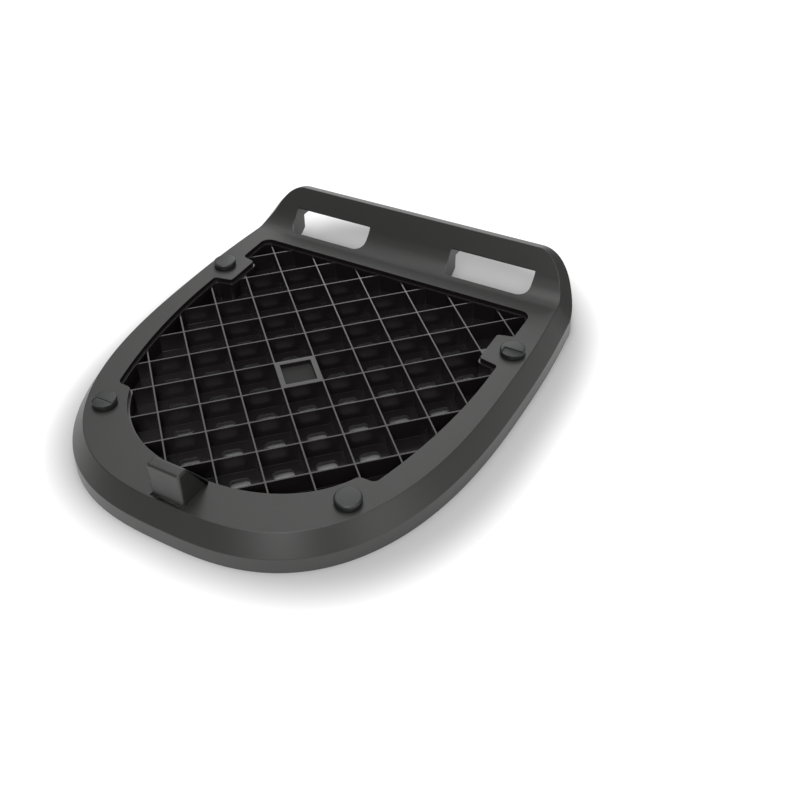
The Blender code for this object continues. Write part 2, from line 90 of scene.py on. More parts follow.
def linear(code: str) -> tuple[float, float, float, float]:
    """Turn an sRGB hex colour into the linear colour that a shader takes.

    Args:
        code: Six hex digits, such as "2a2a29".

    Returns:
        Red, green, blue and alpha.
    """
    channels = []
    for start in (0, 2, 4):
        value = int(code[start:start + 2], 16) / 255
        channels.append(value / 12.92 if value <= 0.04045 else ((value + 0.055) / 1.055) ** 2.4)
    return (*channels, 1.0)


def add_node(tree: bpy.types.NodeTree, kind: str, settings: dict | None = None,
             values: dict | None = None, links: dict | None = None) -> bpy.types.Node:
    """Add a shader node with its settings, socket values and incoming links.

    Args:
        tree: Node tree that gets the node.
        kind: Blender's type name of the node.
        settings: Attributes of the node, by name.
        values: Unlinked input values, by socket name or number.
        links: Sockets that feed the node, by the name or number of its input.

    Returns:
        The new node.
    """
    node = tree.nodes.new(kind)
    for name, value in (settings or {}).items():
        setattr(node, name, value)
    for name, value in (values or {}).items():
        node.inputs[name].default_value = value
    for name, socket in (links or {}).items():
        tree.links.new(socket, node.inputs[name])
    return node


@dataclass(frozen=True)
class MouldedSurface:
    """A moulded surface: one colour under a fine grain, with a slow drift of its gloss."""

    name: str
    colour: str
    roughness: float
    ior: float = 1.64
    roughness_spread: float = 0.0
    drift_mm: float = 40.0
    grain_mm: float = 0.5
    grain_detail: float = 3.0
    grain_roughness: float = 0.6
    grain_height: float = 0.1
    relief_mm: float = 0.1

    def material(self) -> bpy.types.Material:
        """Build the material.

        Returns:
            The finished material.
        """
        made = bpy.data.materials.new(self.name)
        made.use_nodes = True
        tree = made.node_tree
        shader = tree.nodes["Principled BSDF"]
        place = add_node(tree, "ShaderNodeTexCoord").outputs["Object"]
        grain = add_node(tree, "ShaderNodeTexNoise", None,
                         {"Scale": 1 / (self.grain_mm * MM), "Detail": self.grain_detail,
                          "Roughness": self.grain_roughness}, {"Vector": place})
        relief = add_node(tree, "ShaderNodeBump", None,
                          {"Strength": self.grain_height, "Distance": self.relief_mm * MM},
                          {"Height": grain.outputs["Fac"]})
        tree.links.new(relief.outputs["Normal"], shader.inputs["Normal"])
        shader.inputs["Base Color"].default_value = linear(self.colour)
        shader.inputs["Roughness"].default_value = self.roughness
        shader.inputs["IOR"].default_value = self.ior
        if self.roughness_spread:
            drift = add_node(tree, "ShaderNodeTexNoise", None,
                             {"Scale": 1 / (self.drift_mm * MM), "Detail": 2.0}, {"Vector": place})
            gloss = add_node(tree, "ShaderNodeMapRange", None,
                             {"To Min": self.roughness - self.roughness_spread,
                              "To Max": self.roughness + self.roughness_spread},
                             {"Value": drift.outputs["Fac"]})
            tree.links.new(gloss.outputs["Result"], shader.inputs["Roughness"])
        return made


# A spark-eroded mould leaves black ABS a fine matt grain that breaks reflections into a soft sheen.
# Real grain is about 0.15 mm across; it is drawn at 0.5 mm so that it shows at this size
GRAIN = MouldedSurface("black ABS, spark-eroded grain", "232221", 0.42, roughness_spread=0.04)
# The well's core is polished, so its walls carry soft reflections; their colour is darker than the grain's, a
# painted shade for the deep cells
POLISH_AND_SHADE = MouldedSurface("black ABS, polished mould, painted shade", "1b1718", 0.24, 1.52, 0.03, grain_height=0.03)
# The centre pocket comes off a blasted insert: flat and dull, without a reflection
INSERT = MouldedSurface("black ABS, matt insert face", "232221", 0.75, 1.5, 0.04)
# Handling and cases burnish the ribs' tops, which draw bright lines across the dark well
BURNISH = MouldedSurface("black ABS, burnished rib tops", "232221", 0.17, roughness_spread=0.02,
                         grain_height=0.0)
# Compression-moulded rubber: a cooler black with a finer grain than the plastic around it
RUBBER = MouldedSurface("black EPDM rubber, moulded", "1c1e1e", 0.42, grain_mm=0.35, grain_detail=2.0,
                        grain_roughness=0.5, grain_height=0.08)

# The plate's finishes, in the order of its material slots
FINISHES = (GRAIN, POLISH_AND_SHADE, INSERT, BURNISH)


def deselect_all() -> None:
    """Leave edit mode and deselect every object."""
    if bpy.context.mode != "OBJECT":
        bpy.ops.object.mode_set(mode="OBJECT")
    bpy.ops.object.select_all(action="DESELECT")


def activate(item: bpy.types.Object) -> None:
    """Select one object alone and make it the active one.

    Args:
        item: Object to work on.
    """
    deselect_all()
    item.select_set(True)
    bpy.context.view_layer.objects.active = item


def apply_modifiers(item: bpy.types.Object) -> None:
    """Apply all the modifiers of an object, in order.

    Args:
        item: Object to finish.
    """
    activate(item)
    for name in [modifier.name for modifier in item.modifiers]:
        bpy.ops.object.modifier_apply(modifier=name)


def copy_of(item: bpy.types.Object, shift: Vector) -> bpy.types.Object:
    """Copy an object with its own mesh and move the copy's mesh.

    Args:
        item: Object to copy.
        shift: How far the copy is moved.

    Returns:
        The copy.
    """
    copy = bpy.data.objects.new(item.name, item.data.copy())
    bpy.context.scene.collection.objects.link(copy)
    copy.data.transform(Matrix.Translation(shift))
    return copy


def gather(items: list[bpy.types.Object]) -> bpy.types.Object:
    """Join several objects into the first of them.

    Args:
        items: Objects to join.

    Returns:
        The joined object.
    """
    deselect_all()
    for item in items:
        item.select_set(True)
    bpy.context.view_layer.objects.active = items[0]
    if len(items) > 1:
        bpy.ops.object.join()
    return items[0]


def ease(item: bpy.types.Object, width: float, segments: int, turn: float = math.radians(30),
         **settings: object) -> None:
    """Round the edges of an object that turn by more than an angle.

    Args:
        item: Object to ease.
        width: Radius of the edges.
        segments: Faces across an edge.
        turn: Smallest turn that is rounded.
        settings: Other settings of the bevel, by name.
    """
    soft = item.modifiers.new("eased edges", "BEVEL")
    soft.width = width
    soft.segments = segments
    soft.angle_limit = turn
    for name, value in settings.items():
        setattr(soft, name, value)
    apply_modifiers(item)


def select_none(item: bpy.types.Object) -> None:
    """Deselect every face, edge and corner of an object's mesh."""
    for part in (*item.data.polygons, *item.data.edges, *item.data.vertices):
        part.select = False


def face_out() -> None:
    """Point all faces of the mesh in edit mode outwards and leave edit mode."""
    bpy.ops.mesh.select_all(action="SELECT")
    bpy.ops.mesh.normals_make_consistent(inside=False)
    bpy.ops.mesh.select_all(action="DESELECT")
    bpy.ops.object.mode_set(mode="OBJECT")


def combine(target: bpy.types.Object, operand: bpy.types.Object, operation: str) -> None:
    """Join, cut or clip a body with another closed body, which is then removed.

    Args:
        target: Body that changes.
        operand: Body to work with.
        operation: UNION, DIFFERENCE or INTERSECT.
    """
    step = target.modifiers.new(operand.name, "BOOLEAN")
    step.operation = operation
    step.object = operand
    step.solver = "EXACT"
    apply_modifiers(target)
    bpy.data.objects.remove(operand, do_unlink=True)


def prism(name: str, loop: Loop, low: float, high: float, upright: bool = False) -> bpy.types.Object:
    """Raise a closed loop into a solid.

    Args:
        name: Name of the solid.
        loop: Corners in order; only the first two numbers of each are read.
        low: Where the solid starts.
        high: Where it ends.
        upright: The loop is a side view of (y, z) points, raised along +X instead of +Z.

    Returns:
        The solid.
    """
    deselect_all()
    bpy.ops.mesh.primitive_circle_add(vertices=len(loop), radius=1, fill_type="NGON", location=(0, 0, 0))
    item = bpy.context.object
    item.name = name
    for vertex, corner in zip(item.data.vertices, loop):
        vertex.co = (low, corner[0], corner[1]) if upright else (corner[0], corner[1], low)
    way = (high - low, 0, 0) if upright else (0, 0, high - low)
    bpy.ops.object.mode_set(mode="EDIT")
    bpy.ops.mesh.select_all(action="SELECT")
    bpy.ops.mesh.extrude_region_move(TRANSFORM_OT_translate={"value": way})
    face_out()
    return item


def prisms(name: str, loops: list[Loop], low: float, high: float) -> bpy.types.Object:
    """Raise several loops that stay clear of each other into one object.

    Args:
        name: Name of the object.
        loops: Closed loops.
        low: Foot of the solids.
        high: Top of the solids.

    Returns:
        The object.
    """
    return gather([prism(name, loop, low, high) for loop in loops])


def blend(start: float, end: float, share: float) -> float:
    """Give the value at a share of the way from start to end."""
    return start + (end - start) * share


def both_sides(half: Loop) -> Loop:
    """Close a right half, drawn from the tail to the nose, with its mirror image."""
    return half + [(-corner[0], *corner[1:]) for corner in reversed(half) if corner[0] > 1e-9]


def edge_normal(start: tuple, end: tuple) -> Vector:
    """Give the unit vector at a right angle to an edge, out of a clockwise loop."""
    along = (Vector(end[:2]) - Vector(start[:2])).normalized()
    return Vector((-along.y, along.x))


def normals_at(loop: Loop, index: int) -> tuple[Vector, Vector]:
    """Give the outward normals of the two edges that meet at a corner."""
    after = loop[(index + 1) % len(loop)]
    return edge_normal(loop[index - 1], loop[index]), edge_normal(loop[index], after)


def mitre(loop: Loop, index: int) -> Vector:
    """Give the shift that moves both edges at a corner of a clockwise loop out by one."""
    before, after = normals_at(loop, index)
    return (before + after) / (1 + before.dot(after))


def turn_at(loop: Loop, index: int) -> float:
    """Give the angle that a clockwise loop turns at a corner, above zero where it is convex."""
    before, after = normals_at(loop, index)
    return -math.atan2(before.x * after.y - before.y * after.x, before.dot(after))


def widened(loop: Loop, distance: float) -> Loop:
    """Move a clockwise loop of (x, y, radius) corners out by a distance, radii included.

    Args:
        loop: Corners to move.
        distance: How far they go out; below zero is inwards.

    Returns:
        The moved corners.
    """
    moved = []
    for index, (x, y, radius) in enumerate(loop):
        shift = mitre(loop, index) * distance
        if radius:
            radius = max(radius + distance * math.copysign(1, turn_at(loop, index)), SMALLEST_RADIUS)
        moved.append((x + shift.x, y + shift.y, radius))
    return moved


def rounded(loop: Loop, arc_step: float = math.radians(12)) -> Loop:
    """Draw the radii of a clockwise loop of (x, y, radius) corners as arcs.

    Args:
        loop: Corners with their radii.
        arc_step: Largest turn between two points of an arc.

    Returns:
        Plain points.
    """
    points = []
    for index, (x, y, radius) in enumerate(loop):
        turn = turn_at(loop, index)
        if not radius or abs(turn) < arc_step / 2:
            points.append((x, y))
            continue
        side = math.copysign(1, turn)
        centre = Vector((x, y)) - mitre(loop, index) * radius * side
        before = normals_at(loop, index)[0]
        first = math.atan2(before.y * side, before.x * side)
        steps = max(2, round(abs(turn) / arc_step))
        for step in range(steps + 1):
            angle = first - turn * step / steps
            points.append((centre.x + radius * math.cos(angle), centre.y + radius * math.sin(angle)))
    return points


def box_loop(x0: float, x1: float, y0: float, y1: float) -> Loop:
    """Give a clockwise rectangle."""
    return [(x0, y1, 0), (x1, y1, 0), (x1, y0, 0), (x0, y0, 0)]


def diamond(x: float, y: float, side: float, radius: float = 0.0) -> Loop:
    """Give a clockwise square with its corners on the axes through its middle."""
    reach = side / math.sqrt(2)
    return [(x, y + reach, radius), (x + reach, y, radius), (x, y - reach, radius), (x - reach, y, radius)]


def inside(points: Loop, x: float, y: float) -> bool:
    """Say whether a place lies inside a loop of plain points.

    Args:
        points: Loop to test against.
        x: The place's X.
        y: The place's Y.

    Returns:
        True where it lies inside.
    """
    crossings = 0
    for (x0, y0), (x1, y1) in zip(points, points[1:] + points[:1]):
        if (y0 > y) != (y1 > y) and x < x0 + (y - y0) * (x1 - x0) / (y1 - y0):
            crossings += 1
    return crossings % 2 == 1


@dataclass(frozen=True)
class NoseCurve:
    """A superellipse arc that rounds off the nose end of an outline."""

    half_width: float
    depth: float
    centre_y: float
    power: float

    def point(self, angle: float) -> tuple[float, float]:
        """Give the point at an angle: zero lies on the axis, a right angle at the widest place."""
        return (self.half_width * math.sin(angle) ** (2 / self.power),
                self.centre_y - self.depth * math.cos(angle) ** (2 / self.power))

    def width_at(self, y: float) -> float:
        """Give the half width at a given y."""
        return self.half_width * (1 - ((self.centre_y - y) / self.depth) ** self.power) ** (1 / self.power)


@dataclass(frozen=True)
class Skin:
    """Outer shape: flat top, sloping band, skirt, and the cove that rises into the tail lip."""

    length: float = 276.8 * MM
    width: float = 232.3 * MM
    widest_y: float = 43.4 * MM
    nose_power: float = 2.8
    tail_draw_in: float = 3.6 * MM
    tail_corner: float = 24.0 * MM
    top: float = 20.7 * MM
    wall: float = 2.8 * MM
    band_width: float = 8.3 * MM
    band_drop: float = 11.3 * MM
    band_drop_at_tail: float = 3.0 * MM
    draft: float = 0.6 * MM
    cove_radius: float = 20.8 * MM
    cove_sweep: float = math.radians(60)
    flank_run: float = 8.4 * MM
    nose_steps: int = 54
    side_steps: int = 10
    corner_steps: int = 18
    cove_steps: int = 16
    # Height of the first wall that is raised under a lid, before the lid is reshaped
    lid_step: float = 1 * MM

    @property
    def crest_y(self) -> float:
        """Y of the lip's crest."""
        return self.length / 2

    @property
    def cove_y(self) -> float:
        """Y where the cove leaves the flat top."""
        return self.crest_y - self.flank_run - self.cove_radius * math.sin(self.cove_sweep)

    @property
    def nose(self) -> NoseCurve:
        """Curve of the top face's nose end."""
        return NoseCurve(self.width / 2, self.widest_y + self.length / 2, self.widest_y, self.nose_power)

    def half_width(self, y: float) -> float:
        """Give the half width of the top face ahead of the tail corners.

        Args:
            y: Where it is measured.

        Returns:
            The half width.
        """
        if y < self.widest_y:
            return self.nose.width_at(y)
        share = (y - self.widest_y) / (self.crest_y - self.tail_corner - self.widest_y)
        return self.width / 2 - self.tail_draw_in * share ** 2

    def outline(self) -> Loop:
        """Draw the outline of the top face.

        Returns:
            Its points, clockwise from the tail.
        """
        corner_y = self.crest_y - self.tail_corner
        lean = math.atan(2 * self.tail_draw_in / (corner_y - self.widest_y))
        corner_x = self.half_width(corner_y) - self.tail_corner * math.cos(lean)
        half = []
        for step in range(self.corner_steps + 1):
            angle = blend(math.pi / 2, lean, step / self.corner_steps)
            half.append((corner_x + self.tail_corner * math.cos(angle),
                         corner_y + self.tail_corner * math.sin(angle)))
        for step in range(1, self.side_steps):
            y = blend(corner_y, self.widest_y, step / self.side_steps)
            half.append((self.half_width(y), y))
        for step in range(self.nose_steps + 1):
            half.append(self.nose.point(blend(math.pi / 2, 0, step / self.nose_steps)))
        return both_sides(half)

    def cove(self, inset: float) -> Loop:
        """Draw the side view of the cove.

        Args:
            inset: How far the skin is moved inwards.

        Returns:
            Its (y, z) points, upwards.
        """
        radius = self.cove_radius + inset
        angles = [self.cove_sweep * step / self.cove_steps for step in range(self.cove_steps + 1)]
        centre_z = self.top + self.cove_radius
        return [(self.cove_y + radius * math.sin(angle), centre_z - radius * math.cos(angle))
                for angle in angles]

    def height(self, y: float, inset: float = 0.0) -> float:
        """Give the height of the top face, or of its inner side.

        Args:
            y: Where it is measured.
            inset: How far the skin is moved inwards.

        Returns:
            The height.
        """
        points = self.cove(inset)
        if y <= points[0][0]:
            return points[0][1]
        for (y0, z0), (y1, z1) in zip(points, points[1:]):
            if y <= y1:
                return blend(z0, z1, (y - y0) / (y1 - y0))
        return points[-1][1] + (y - points[-1][0]) * math.tan(self.cove_sweep)

    def rings(self, inset: float, foot: float) -> tuple[Loop, Loop, Loop]:
        """Give the rings of the skin: foot of the skirt, foot of the band and edge of the top.

        Args:
            inset: How far the skin is moved inwards.
            foot: Height of the foot.

        Returns:
            The three rings, of (x, y, z) points in the same order.
        """
        edge, band, skirt = [], [], []
        loop = self.outline()
        for index, (x, y) in enumerate(loop):
            out = mitre(loop, index)
            tailward = max(out.normalized().y, 0)
            rise = min(max((y - self.cove_y) / self.cove_radius, 0), math.sin(self.cove_sweep))
            climb = math.atan(rise / math.sqrt(1 - rise ** 2) * tailward)
            drop = blend(self.band_drop, self.band_drop_at_tail, tailward)
            fall = math.atan(drop / self.band_width)
            pull = inset * (math.sin(fall) - math.sin(climb)) / (1 + math.cos(climb + fall))
            inner_y = y - out.y * pull
            edge.append((x - out.x * pull, inner_y, self.height(inner_y, inset)))
            reach = self.band_width - inset
            sink = inset * math.cos(fall) / (1 + math.sin(fall))
            band.append((x + out.x * reach, y + out.y * reach, self.height(y) - drop - sink))
            reach += self.draft
            skirt.append((x + out.x * reach, y + out.y * reach, foot))
        return skirt, band, edge

    def blank(self, name: str, inset: float, foot: float) -> bpy.types.Object:
        """Loft the closed body under the skin.

        Args:
            name: Name of the body.
            inset: How far the skin is moved inwards.
            foot: Height of its foot.

        Returns:
            The body.
        """
        skirt, band, edge = self.rings(inset, foot)
        ceiling = max(point[2] for point in edge) + self.band_drop
        body = prism(name, skirt, foot, foot + self.lid_step)
        self.reshape(body, skirt, foot + self.lid_step, band)
        self.extrude_lid(body)
        self.reshape(body, band, None, [(x, y, ceiling) for x, y, _ in edge])
        for y, _ in self.cove(inset):
            self.select_lid(body, ceiling)
            bpy.ops.object.mode_set(mode="EDIT")
            bpy.ops.mesh.bisect(plane_co=(0, y, 0), plane_no=(0, 1, 0))
            bpy.ops.object.mode_set(mode="OBJECT")
        for vertex in body.data.vertices:
            if abs(vertex.co.z - ceiling) < CLOSE:
                vertex.co.z = self.height(vertex.co.y, inset)
        activate(body)
        bpy.ops.object.mode_set(mode="EDIT")
        face_out()
        return body

    @staticmethod
    def select_lid(body: bpy.types.Object, height: float) -> None:
        """Select only the faces of a body that lie at a height.

        Args:
            body: Body whose faces are selected.
            height: Height that they lie at.
        """
        mesh = body.data
        select_none(body)
        for face in mesh.polygons:
            face.select = all(abs(mesh.vertices[index].co.z - height) < CLOSE for index in face.vertices)

    def extrude_lid(self, body: bpy.types.Object) -> None:
        """Extrude the selected lid of a body a little way up.

        Args:
            body: Body with the selected lid.
        """
        activate(body)
        bpy.ops.object.mode_set(mode="EDIT")
        bpy.ops.mesh.extrude_region_move(TRANSFORM_OT_translate={"value": (0, 0, self.lid_step)})
        bpy.ops.object.mode_set(mode="OBJECT")

    @staticmethod
    def reshape(body: bpy.types.Object, ring: Loop, height: float | None, target: Loop) -> None:
        """Move the lid's corners from one ring to another and leave the lid selected.

        Args:
            body: Body whose lid is moved.
            ring: Ring that the lid's corners stand over.
            height: Height of the lid, or None for the selected corners.
            target: Ring that they move to.
        """
        tree = KDTree(len(ring))
        for index, point in enumerate(ring):
            tree.insert((point[0], point[1], 0), index)
        tree.balance()
        mesh = body.data
        lid = {vertex.index for vertex in mesh.vertices
               if (vertex.select if height is None else abs(vertex.co.z - height) < CLOSE)}
        for index in lid:
            vertex = mesh.vertices[index]
            vertex.co = target[tree.find((vertex.co.x, vertex.co.y, 0))[1]]
        select_none(body)
        for face in mesh.polygons:
            face.select = all(index in lid for index in face.vertices)


@dataclass
class Well:
    """Sunk middle of the moulding: rimmed opening, diagonal grid and holed floor."""

    skin: Skin
    side_rail: float = 13.1 * MM
    nose_rail: float = 24.0 * MM
    tail_rail: float = 9.4 * MM
    head_inset: float = 2.6 * MM
    head_corner: float = 6.6 * MM
    tab_start: float = 28.5 * MM
    tab_length: float = 27.0 * MM
    tab_reach: float = 9.8 * MM
    tab_skew: float = 2.4 * MM
    tab_corner: float = 2.2 * MM
    nose_corner: float = 4.0 * MM
    nose_tab_rise: float = 41.0 * MM
    side_straight: float = 11.0 * MM
    side_radius: float = 369.0 * MM
    side_steps: int = 12
    nose_arc_rail: float = 32.35 * MM
    nose_arc_depth: float = 72.0 * MM
    nose_arc_power: float = 2.2
    nose_arc_steps: int = 30
    pitch: float = 24.5 * MM
    centre_y: float = -11.6 * MM
    grid_drop: float = 3.2 * MM
    rib: float = 1.2 * MM
    cell_depth: float = 12.2 * MM
    floor: float = 2.2 * MM
    ledge: float = 1.2 * MM
    wall: float = 1.2 * MM
    hole: float = 12.0 * MM
    hole_corner: float = 2.6 * MM
    hole_margin: float = 1.2 * MM
    smallest_share: float = 0.03
    samples: int = 8
    centre_rim: float = 2.2 * MM
    centre_depth: float = 3.0 * MM

    @property
    def tail_y(self) -> float:
        """Tail end of the opening."""
        return self.skin.cove_y - self.tail_rail

    @property
    def nose_y(self) -> float:
        """Nose end of the opening."""
        return self.nose_rail - self.skin.length / 2

    @property
    def half_width(self) -> float:
        """Half width of the opening."""
        return self.skin.width / 2 - self.side_rail

    @property
    def grid_top(self) -> float:
        """Height of the ribs' tops."""
        return self.skin.top - self.grid_drop

    @property
    def cell_floor(self) -> float:
        """Height of the cells' floors."""
        return self.grid_top - self.cell_depth

    def opening(self) -> Loop:
        """Draw the opening of the well.

        Returns:
            Its (x, y, radius) corners, clockwise from the tail.
        """
        head_x = self.half_width - self.head_inset
        tab_x = head_x - self.tab_reach
        tab_top = self.tail_y - self.tab_start
        tab_foot = tab_top - self.tab_length
        side_top = tab_foot - self.tab_skew
        side_foot = self.nose_y + self.nose_tab_rise
        corner = self.tab_corner
        half = [(head_x, self.tail_y, self.head_corner),
                (head_x, tab_top + self.tab_skew / 2, corner),
                (tab_x, tab_top - self.tab_skew / 2, corner),
                (tab_x, tab_foot, corner),
                (self.half_width, side_top, corner)]
        arc_top = side_top - self.side_straight
        for step in range(self.side_steps + 1):
            y = blend(arc_top, side_foot, step / self.side_steps)
            bow = self.side_radius - math.sqrt(self.side_radius ** 2 - (y - arc_top) ** 2)
            half.append((self.half_width - bow, y, self.nose_corner if step == self.side_steps else 0))
        reach = self.skin.width / 2 - self.nose_arc_rail
        arc = NoseCurve(reach, self.nose_arc_depth, self.nose_y + self.nose_arc_depth, self.nose_arc_power)
        first = math.asin((arc.width_at(side_foot) / reach) ** (arc.power / 2))
        for step in range(self.nose_arc_steps + 1):
            x, y = arc.point(blend(first, 0, step / self.nose_arc_steps))
            half.append((x, y, 0 if step else self.nose_corner))
        return both_sides(half)

    def cells(self, walls: Loop) -> Loop:
        """Give the middles of the cells that keep a fair share inside the walls.

        Args:
            walls: Plain outline of the well's walls.

        Returns:
            Middles of the cells, without the one at the centre.
        """
        half = self.pitch / math.sqrt(2)
        count = math.ceil(self.skin.length / half)
        offsets = [(2 * step + 1 - self.samples) / (2 * self.samples) for step in range(self.samples)]
        middles = []
        for row in range(-count, count + 1):
            for column in range(-count, count + 1):
                x = (row + column) * half
                y = self.centre_y + (row - column) * half
                hits = [inside(walls, x + (i + j) * half, y + (i - j) * half)
                        for i in offsets for j in offsets]
                if sum(hits) / len(hits) > self.smallest_share and (row or column):
                    middles.append((x, y))
        return middles

    def repeat(self, name: str, loop: Loop, middles: Loop, low: float, high: float) -> bpy.types.Object:
        """Raise one loop and copy it to several places.

        Args:
            name: Name of the bodies.
            loop: Loop drawn around the origin.
            middles: Where the copies go.
            low: Foot of the bodies.
            high: Top of the bodies.

        Returns:
            All of the copies as one object.
        """
        first = prism(name, loop, low, high)
        copies = [copy_of(first, Vector((x, y, 0))) for x, y in middles]
        bpy.data.objects.remove(first, do_unlink=True)
        return gather(copies)

    def add_to(self, plate: bpy.types.Object) -> None:
        """Join the well to the moulding and cut its cells and holes.

        Args:
            plate: Moulding in the making.
        """
        opening = self.opening()
        walls = rounded(widened(opening, -self.ledge))
        top = self.skin.top
        bottom = self.cell_floor - self.floor
        block = prism("well_block", rounded(widened(opening, self.wall)), bottom, top - self.skin.wall / 2)
        combine(plate, block, "UNION")
        combine(plate, prism("opening", rounded(opening), self.grid_top, top + OVERRUN), "DIFFERENCE")
        middles = self.cells(walls)
        side = self.pitch - self.rib
        cells = self.repeat("cells", diamond(0, 0, side), middles, self.cell_floor,
                            self.grid_top + self.grid_drop / 2)
        combine(cells, prism("walls", walls, self.cell_floor - OVERRUN, top), "INTERSECT")
        combine(plate, cells, "DIFFERENCE")
        pocket = diamond(0, self.centre_y, side - 2 * self.centre_rim)
        combine(plate, prism("centre_pocket", pocket, self.grid_top - self.centre_depth, top), "DIFFERENCE")
        clear = self.hole + 2 * self.hole_margin
        whole = [(x, y) for x, y in middles
                 if all(inside(walls, *corner[:2]) for corner in diamond(x, y, clear))]
        holes = self.repeat("holes", rounded(diamond(0, 0, self.hole, self.hole_corner)), whole,
                            bottom - OVERRUN, self.cell_floor + OVERRUN)
        combine(plate, holes, "DIFFERENCE")


@dataclass
class TailLip:
    """Two claw slots through the lip, their fences, and the window behind them."""

    skin: Skin
    gap: float = 62.2 * MM
    end_margin: float = 25.75 * MM
    depth: float = 13.9 * MM
    setback: float = 5.1 * MM
    corner: float = 7.3 * MM
    fence: float = 2.0 * MM
    fence_foot: float = 10.2 * MM
    fence_lead: float = 9.0 * MM
    taper_y: float = 133.8 * MM
    taper: float = math.radians(36)
    window_height: float = 23.5 * MM
    rear_post: float = 16.8 * MM

    @property
    def ends(self) -> tuple[float, float]:
        """Inner and outer end of the right slot."""
        return self.gap / 2, self.skin.width / 2 - self.end_margin

    def fences(self) -> bpy.types.Object:
        """Raise the fences at the ends of the slots, with their sloping feet.

        Returns:
            The fences, cut to their side view but not yet to the skin.
        """
        back = self.skin.crest_y + 2 * self.skin.band_width
        front = self.skin.cove_y - self.fence_lead
        loops = [box_loop(side * x - self.fence, side * x + self.fence, front, back)
                 for side in (-1, 1) for x in self.ends]
        fences = prisms("slot_fences", loops, self.fence_foot, self.skin.length)
        rise = (back - self.taper_y) * math.tan(self.taper)
        end = back + OVERRUN / 2
        taper = [(self.taper_y, self.fence_foot), (end, self.fence_foot + rise), (end, 0), (self.taper_y, 0)]
        combine(fences, prism("taper", taper, -self.skin.width, self.skin.width, upright=True), "DIFFERENCE")
        return fences

    def cut_from(self, plate: bpy.types.Object) -> None:
        """Cut the slots, which leave the lip square to its flank, and the rear window.

        Args:
            plate: Moulding in the making.
        """
        nose_y = self.skin.cove_y + self.setback
        tail_y = nose_y + self.depth
        back = self.skin.crest_y + self.skin.band_width + OVERRUN
        for side in (-1, 1):
            x0, x1 = sorted(side * x for x in self.ends)
            loop = [(x0, back, 0), (x1, back, 0), (x1, nose_y, self.corner), (x0, nose_y, self.corner)]
            slot = prism("claw_slot", rounded(loop), 0, self.skin.length)
            edge = self.skin.height(tail_y)
            far = self.skin.crest_y + 2 * self.skin.band_width
            fall = (far - tail_y) * math.tan(math.pi / 2 - self.skin.cove_sweep)
            low = self.fence_foot - OVERRUN
            path = [(nose_y - OVERRUN, low), (nose_y - OVERRUN, self.skin.length), (tail_y, self.skin.length),
                    (tail_y, edge), (far, edge - fall), (far, low)]
            combine(slot, prism("path", path, -self.skin.width, self.skin.width, upright=True), "INTERSECT")
            combine(plate, slot, "DIFFERENCE")
        half = self.skin.width / 2 - self.rear_post
        window = prism("window", box_loop(-half, half, self.skin.crest_y, back), -OVERRUN, self.window_height)
        combine(plate, window, "DIFFERENCE")


@dataclass
class LatchHook:
    """Hollow hook at the nose, and the groove at the foot of its front that the latch grips."""

    skin: Skin
    well: Well
    width: float = 21.2 * MM
    height: float = 21.5 * MM
    setback: float = 2.7 * MM
    top_depth: float = 7.0 * MM
    # The slope runs a little past the rim, so that its foot ends on the well's wall
    overrun: float = 0.6 * MM
    wall: float = 2.6 * MM
    edge: float = 1.5 * MM
    groove_depth: float = 3.4 * MM
    groove_run: float = 1.4 * MM
    groove_reach: float = 1.2 * MM
    groove_rise: float = 0.6 * MM

    def side_view(self, inset: float, foot: float) -> Loop:
        """Draw the hook from its side.

        Args:
            inset: How far the shape is moved inwards.
            foot: Height of its foot.

        Returns:
            Its (y, z) corners.
        """
        front = self.setback - self.skin.length / 2
        shoulder = front + self.top_depth
        top = self.skin.top + self.height
        foot_y = self.well.nose_y + self.overrun
        back = shoulder + (foot_y - shoulder) * (top - foot) / self.height
        return widened([(front, foot, 0), (front, top, 0), (shoulder, top, 0), (back, foot, 0)], -inset)

    def add_to(self, plate: bpy.types.Object) -> None:
        """Join the hook to the moulding, hollow it and cut the groove.

        Args:
            plate: Moulding in the making.
        """
        half = self.width / 2
        joint = self.skin.top - self.skin.wall / 2
        hook = prism("hook", self.side_view(0, joint), -half, half, upright=True)
        ease(hook, self.edge, 4)
        combine(plate, hook, "UNION")
        inner = half - self.wall
        core = prism("core", self.side_view(self.wall, joint - 2 * self.wall), -inner, inner, upright=True)
        combine(plate, core, "DIFFERENCE")
        front = self.setback - self.skin.length / 2
        groove = box_loop(-half - self.groove_rise, half + self.groove_rise,
                          front - self.groove_run, front + self.groove_reach)
        top = self.skin.top
        combine(plate, prism("groove", groove, top - self.groove_depth, top + self.groove_rise), "DIFFERENCE")


